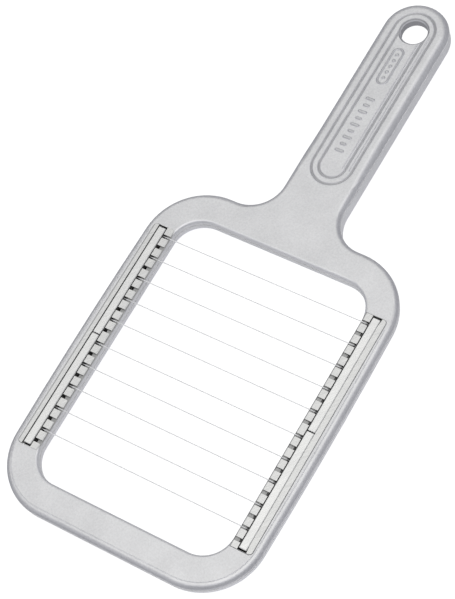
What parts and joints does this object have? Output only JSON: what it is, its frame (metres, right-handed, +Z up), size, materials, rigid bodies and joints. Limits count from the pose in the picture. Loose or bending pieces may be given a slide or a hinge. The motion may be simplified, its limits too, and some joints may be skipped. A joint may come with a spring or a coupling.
{
  "type": "egg slicer",
  "caption": "Hand egg slicer: a cast rectangular frame with taut cutting wires clamped by press-fit bars, and a flat handle with a hanging hole.",
  "frame": {"origin": "under the middle of the whole outline, level with the handle's underside", "axes": "+Y along the handle towards its rounded end, +Z up out of the face that shows the teeth, +X across the frame"},
  "size_m": [0.1134, 0.2585, 0.0103],
  "materials": {
    "cast_aluminium": "fine shot-blasted casting, matt silver",
    "ground_aluminium": "ground, with fine diagonal lines",
    "stainless_wire": "drawn stainless wire, polished"
  },
  "bodies": {
    "root": {"cast_frame": "cast_aluminium", "clamp_bar_left_upper": "ground_aluminium", "clamp_bar_left_lower": "ground_aluminium", "clamp_bar_right_upper": "ground_aluminium", "clamp_bar_right_lower": "ground_aluminium", "cutting_wire_01": "stainless_wire", "cutting_wire_02": "stainless_wire", "cutting_wire_03": "stainless_wire", "cutting_wire_04": "stainless_wire", "cutting_wire_05": "stainless_wire", "cutting_wire_06": "stainless_wire", "cutting_wire_07": "stainless_wire", "cutting_wire_08": "stainless_wire", "cutting_wire_09": "stainless_wire", "cutting_wire_10": "stainless_wire"}
  },
  "joints": []
}
